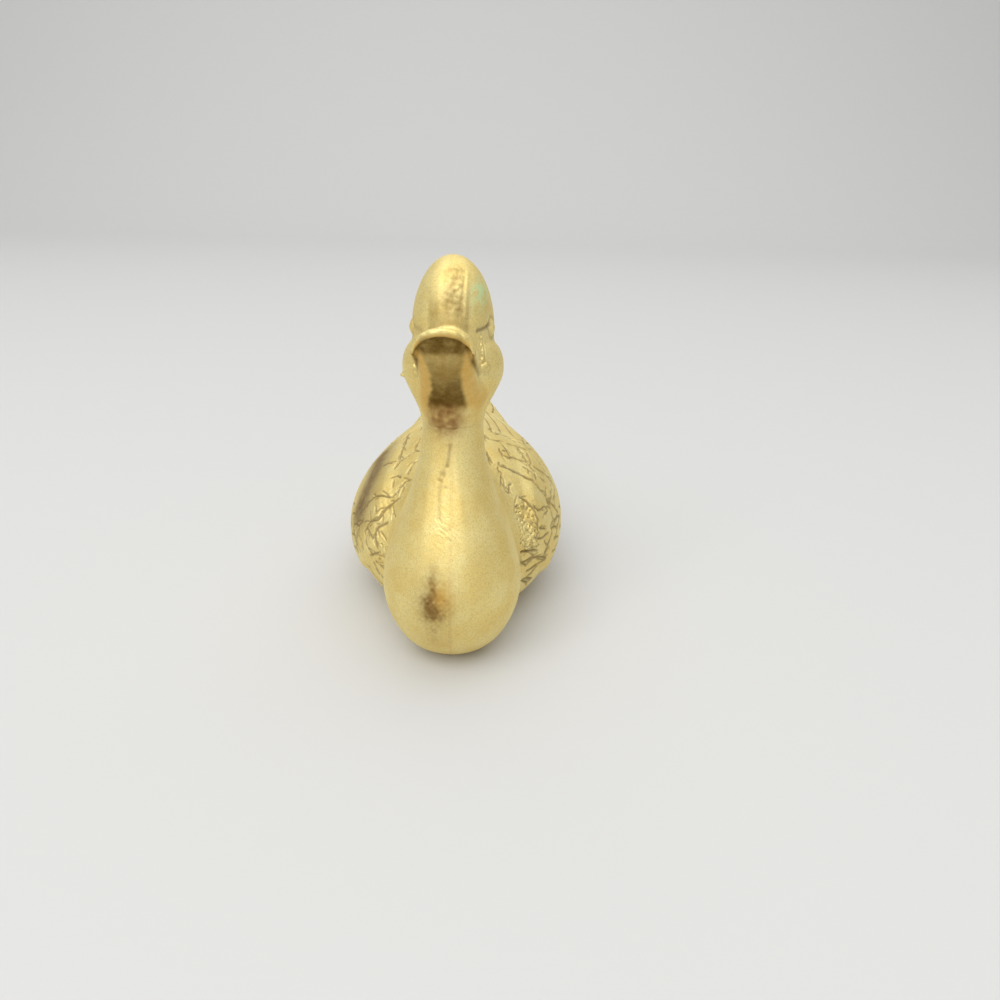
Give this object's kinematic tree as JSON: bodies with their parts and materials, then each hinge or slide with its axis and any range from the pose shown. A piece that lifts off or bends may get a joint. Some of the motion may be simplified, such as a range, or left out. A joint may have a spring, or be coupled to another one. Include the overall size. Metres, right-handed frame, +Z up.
{
  "type": "brass duck figurine",
  "caption": "Hollow cast brass duck ornament, sitting on a flat belly with a raised bill, engraved wings and an upturned tail, brazed from mirrored half castings.",
  "frame": {"origin": "on the standing plane, in the middle plane, midway between the front of the breast and the tip of the tail", "axes": "-Y where the bill points, +X to the duck's left side, +Z up"},
  "size_m": [0.0628, 0.112, 0.0989],
  "materials": {
    "cast_brass": "satin, hand dressed, lightly tarnished",
    "braze_filler": "dressed flush, slightly redder than the castings"
  },
  "bodies": {
    "root": {"body_left_half": "cast_brass", "body_right_half": "cast_brass", "head_left_half": "cast_brass", "head_right_half": "cast_brass", "body_seam_braze": "braze_filler", "head_seam_braze": "braze_filler", "neck_joint_braze": "braze_filler"}
  },
  "joints": []
}
